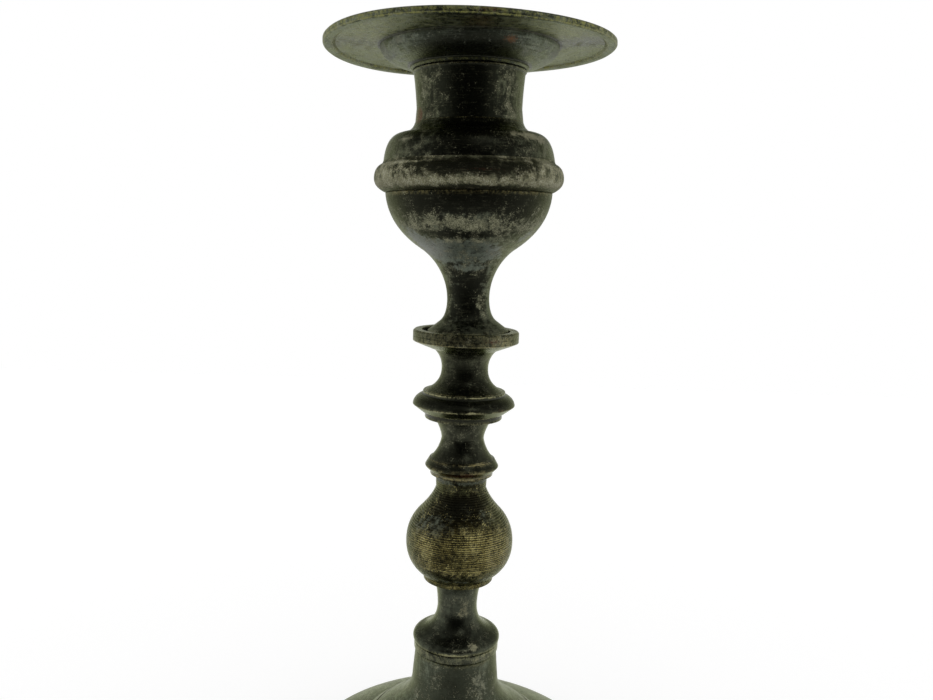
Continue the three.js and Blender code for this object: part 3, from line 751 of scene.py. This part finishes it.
neck_metal = patina("neck_patina", (26, 28, 21), (84, 87, 69), rust=(84, 34, 25), gloss=0.24, relief=0.10,
                    down=0.5, sparkle=0.6, cover=0.6, shift=11.7)
neck = Outline(NECK_BORE, 0)
neck.line((16.1, 0, 0.05), (15.7, 4)).curve(16.5, 14.1, (0.2, 0.5))
neck.line((16.9, 14.5, 0.15), (16.9, NECK_TALL, 0.1), (NECK_BORE, NECK_TALL))
turned("neck", "urn_neck", "urn", "neck_brass", neck, neck_metal, level=NECK_LEVEL, place=URN_PLACE,
       seed=12,
       rust=(Spot(-67, 1.2, 2.4, 2.2, 1.8),),
       # Painted shade down the front.
       shade=(Spot(0, 7, 9, 20, 1.0),),
       pale=(Spot(46, 3, 4, 3.0, 0.9), Spot(40, 0.6, 4, 0.4, 1.2), Spot(-46, 1.2, 5, 0.5, 1.1),
             Spot(45, 9, 3, 4, 0.6), Spot(-55, 9, 3, 5, 0.6), Spot(-38, 11, 2, 2, 0.5)))


# Drip pan, a little warped, and its candle sleeve


def pan_warp(azimuth, radius):
    """How far the pan's plate bends up or down, in mm. Its top stays below the solid's highest point."""
    reach = np.clip((radius - PAN_BOWL_RADIUS) / (PAN_RADIUS - PAN_BOWL_RADIUS), 0, 1) ** 1.4
    room = math.sin(-URN_LEAN) * (PAN_RADIUS - radius * np.sin(azimuth))
    return np.minimum(-PAN_WARP * np.sin(2 * azimuth) * reach, room - PAN_MARGIN * reach)


pan_metal = patina("pan_patina", (48, 52, 43), (98, 104, 90), bloom=(124, 132, 120), cover=0.6,
                   pale=(146, 150, 132), wear_and_glint_colour=(138, 138, 72), rust=(104, 70, 46), gloss=0.30,
                   speckle=0.06, relief=0.26, pits=0.3, sparkle=0.35, contrast=0.17, down=0.1,
                   turning=0.8, flat=0.28, shift=13.0)
pan = Outline(PAN_BORE, 0)
pan.line((17.1, 0), (17.65, 0.5), (17.55, 1.1)).curve(PAN_BOWL_RADIUS, 6.8, (0.98, 0.22))
pan.line((39.2, 6.8, 0.1), (39.55, 7.2, 0.1), (40.0, 6.4), (40.6, 6.1), (42.2, 6.05), (PAN_RADIUS, 6.5))
pan.line((PAN_RADIUS, 7.6), (42.4, 8.0), (25.2, 8.0)).curve(17.3, 1.2, (0.02, 0.78)).line((PAN_BORE, 1.2))
turned("pan", "drip_pan", "nozzle", "pan_brass", pan, pan_metal, level=PAN_LEVEL, place=URN_PLACE,
       seed=13, warp=pan_warp, wobble=0.12,
       # The thin ring at 6.42 mm is a painted highlight line; the other marks here are wear.
       worn=(Ring(7.2, 0.4, 1.0), Spot(-65, 7.2, 14, 0.5, 0.5), Spot(50, 7.2, 14, 0.5, 0.5),
             Ring(6.42, 0.09, 1.2)),
       rust=(Spot(26, 4.4, 3, 1.4, 0.7), Spot(6, 7.2, 8, 0.8, 0.7)),
       # Painted shade at the front of the bowl and the plate.
       shade=(Spot(0, 3.2, 14, 2.6, 1.8), Spot(0, 1, 20, 1.5, 1.0), Spot(0, 6.4, 40, 0.3, 0.5)),
       # The pale spots at either side of the bowl are painted reflections as well as scurf.
       pale=(Spot(-80, 4.5, 9, 2.6, 1.3), Spot(80, 4.5, 9, 2.6, 1.2), Spot(-50, 5.4, 6, 1.2, 0.9),
             Spot(48, 3.5, 5, 2, 0.8), Ring(6.9, 0.15, 0.3), Spot(-25, 5.6, 6, 0.7, 0.7)),
       cool=(Spot(-80, 6.8, 10, 0.3, 0.45), Spot(75, 6.8, 12, 0.3, 0.6), Spot(-70, 3, 6, 3, 0.5)))

sleeve_metal = patina("sleeve_patina", (52, 48, 32), (104, 96, 66), gloss=0.38, shift=14.3)
sleeve = Outline(0, -24)
sleeve.line((12.6, -24), (12.6, 1.5), (15.2, 1.5), (15.2, 2.5), (11.2, 2.5), (11.2, -22.5), (0, -22.5))
turned("sleeve", "candle_sleeve", "nozzle", "sleeve_brass", sleeve, sleeve_metal, level=PAN_LEVEL,
       place=URN_PLACE, closed=False, seed=14)

# Rod, washer and nut keep their CAD shapes


def plain_metal(name, dark, light, rough):
    material = bpy.data.materials.new(name)
    material.use_nodes = True
    n = Nodes(material.node_tree)
    where = n.add("ShaderNodeTexCoord").outputs["Object"]
    stain = n.noise(where, 220.0, 5.0, 0.6)
    colour = n.blend(n.ramp(stain, 0.35, 0.65), srgb(*dark), srgb(*light))
    surface = n.add("ShaderNodeBsdfPrincipled", Roughness=n.ramp(stain, 0.3, 0.7, rough - 0.1, rough + 0.1))
    n.feed(surface.inputs["Base Color"], colour)
    surface.inputs["Metallic"].default_value = 0.8
    end = n.add("ShaderNodeOutputMaterial")
    n.feed(end.inputs["Surface"], surface.outputs[0])
    return material


rod_metal = plain_metal("rod steel", (70, 66, 60), (112, 108, 100), 0.45)
nut_metal = plain_metal("nut brass", (92, 80, 48), (142, 126, 82), 0.45)
for node, material in (("tie_rod", rod_metal), ("rod_washer", nut_metal), ("rod_nut", nut_metal)):
    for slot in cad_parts[node].material_slots:
        slot.material = material

# Floor, world, light and camera


def stage_plane(name, size, material):
    mesh = bpy.data.meshes.new(name)
    s = size / 2
    mesh.from_pydata([(-s, -s, 0), (s, -s, 0), (s, s, 0), (-s, s, 0)], [], [(0, 1, 2, 3)])
    obj = bpy.data.objects.new(name, mesh)
    bpy.context.scene.collection.objects.link(obj)
    obj.data.materials.append(material)
    return obj


def floor_material():
    """Pale floor that keeps the object's shadow and is seen through from below.

    In reflections it is dark near the camera, like the rest of the room.
    """
    material = bpy.data.materials.new("floor")
    material.use_nodes = True
    n = Nodes(material.node_tree)
    path = n.add("ShaderNodeLightPath").outputs
    geometry = n.add("ShaderNodeNewGeometry").outputs
    depth = n.add("ShaderNodeSeparateXYZ", Vector=geometry["Position"]).outputs["Y"]
    mirrored = n.math("ADD", path["Is Glossy Ray"], path["Is Transmission Ray"])
    mirrored = n.math("MULTIPLY", mirrored, n.ramp(depth, -0.40, -0.08, 0.10, 0.75))
    seen = n.math("ADD", path["Is Camera Ray"], mirrored, clamp=True)
    diffuse = n.add("ShaderNodeBsdfDiffuse", Color=n.ramp(seen, 0.0, 1.0, 0.35, 0.80))
    glow = n.add("ShaderNodeEmission")
    glow.inputs["Color"].default_value = (1, 1, 1, 1)
    n.feed(glow.inputs["Strength"], n.math("MULTIPLY", seen, 0.30))
    both = n.add("ShaderNodeAddShader")
    n.feed(both.inputs[0], diffuse.outputs[0])
    n.feed(both.inputs[1], glow.outputs[0])
    from_below = n.add("ShaderNodeMixShader")
    n.feed(from_below.inputs[0], geometry["Backfacing"])
    n.feed(from_below.inputs[1], both.outputs[0])
    n.feed(from_below.inputs[2], n.add("ShaderNodeBsdfTransparent").outputs[0])
    end = n.add("ShaderNodeOutputMaterial")
    n.feed(end.inputs["Surface"], from_below.outputs[0])
    return material


FLOOR_SIZE = 1.6
stage_plane("floor", FLOOR_SIZE, floor_material())

# The room is dark towards the camera and white at the sides, as in a photographer's tent
TO_LAMP = Vector((0.27, -0.58, 0.77))
world = bpy.data.worlds.new("studio")
bpy.context.scene.world = world
world.use_nodes = True
n = Nodes(world.node_tree)
path = n.add("ShaderNodeLightPath").outputs
direction = n.add("ShaderNodeTexCoord").outputs["Generated"]
axes = n.add("ShaderNodeSeparateXYZ", Vector=direction).outputs
sides = n.ramp(axes["Y"], -0.88, -0.52, 0.05, 0.95)
sides = n.math("MULTIPLY", sides, n.ramp(axes["Y"], 0.1, 0.9, 1.0, 0.6))
toward = n.add("ShaderNodeVectorMath", {"operation": "DOT_PRODUCT"})
n.feed(toward.inputs[0], direction)
toward.inputs[1].default_value = TO_LAMP.normalized()
lamp = n.ramp(toward.outputs["Value"], 0.982, 0.992, 0.0, 2.5)
falling = n.ramp(axes["Z"], -0.05, 0.7, 1.0, 0.30)
studio = n.math("MAXIMUM", n.math("MULTIPLY", sides, falling), lamp)
soft = n.ramp(axes["Y"], -1.0, 0.3, 0.62, 1.0)
tinted = n.blend(1.0, studio, (0.99, 1.0, 0.97, 1), "MULTIPLY")
strength = n.blend(path["Is Glossy Ray"], soft, tinted)
strength = n.blend(path["Is Camera Ray"], strength, (1, 1, 1, 1))
background = n.add("ShaderNodeBackground")
n.feed(background.inputs["Color"], strength)
end = n.add("ShaderNodeOutputWorld")
n.feed(end.inputs["Surface"], background.outputs[0])

SENSOR_MM = 36
PHOTO_WIDTH = 933
FOCAL_PIXELS = 850
CAMERA_PLACE = (0.0003, -0.260, 0.188)
CAMERA_PITCH = math.radians(7.85)
CAMERA_ROLL = math.radians(1.9)
camera = bpy.data.cameras.new("camera")
camera.sensor_width = SENSOR_MM
camera.lens = FOCAL_PIXELS * SENSOR_MM / PHOTO_WIDTH
camera_object = bpy.data.objects.new("camera", camera)
bpy.context.scene.collection.objects.link(camera_object)
camera_object.matrix_world = (
    Matrix.Translation(CAMERA_PLACE)
    @ Matrix.Rotation(math.pi / 2 - CAMERA_PITCH, 4, "X")
    @ Matrix.Rotation(CAMERA_ROLL, 4, "Z")
)
bpy.context.scene.camera = camera_object
bpy.context.scene.view_settings.view_transform = "Standard"
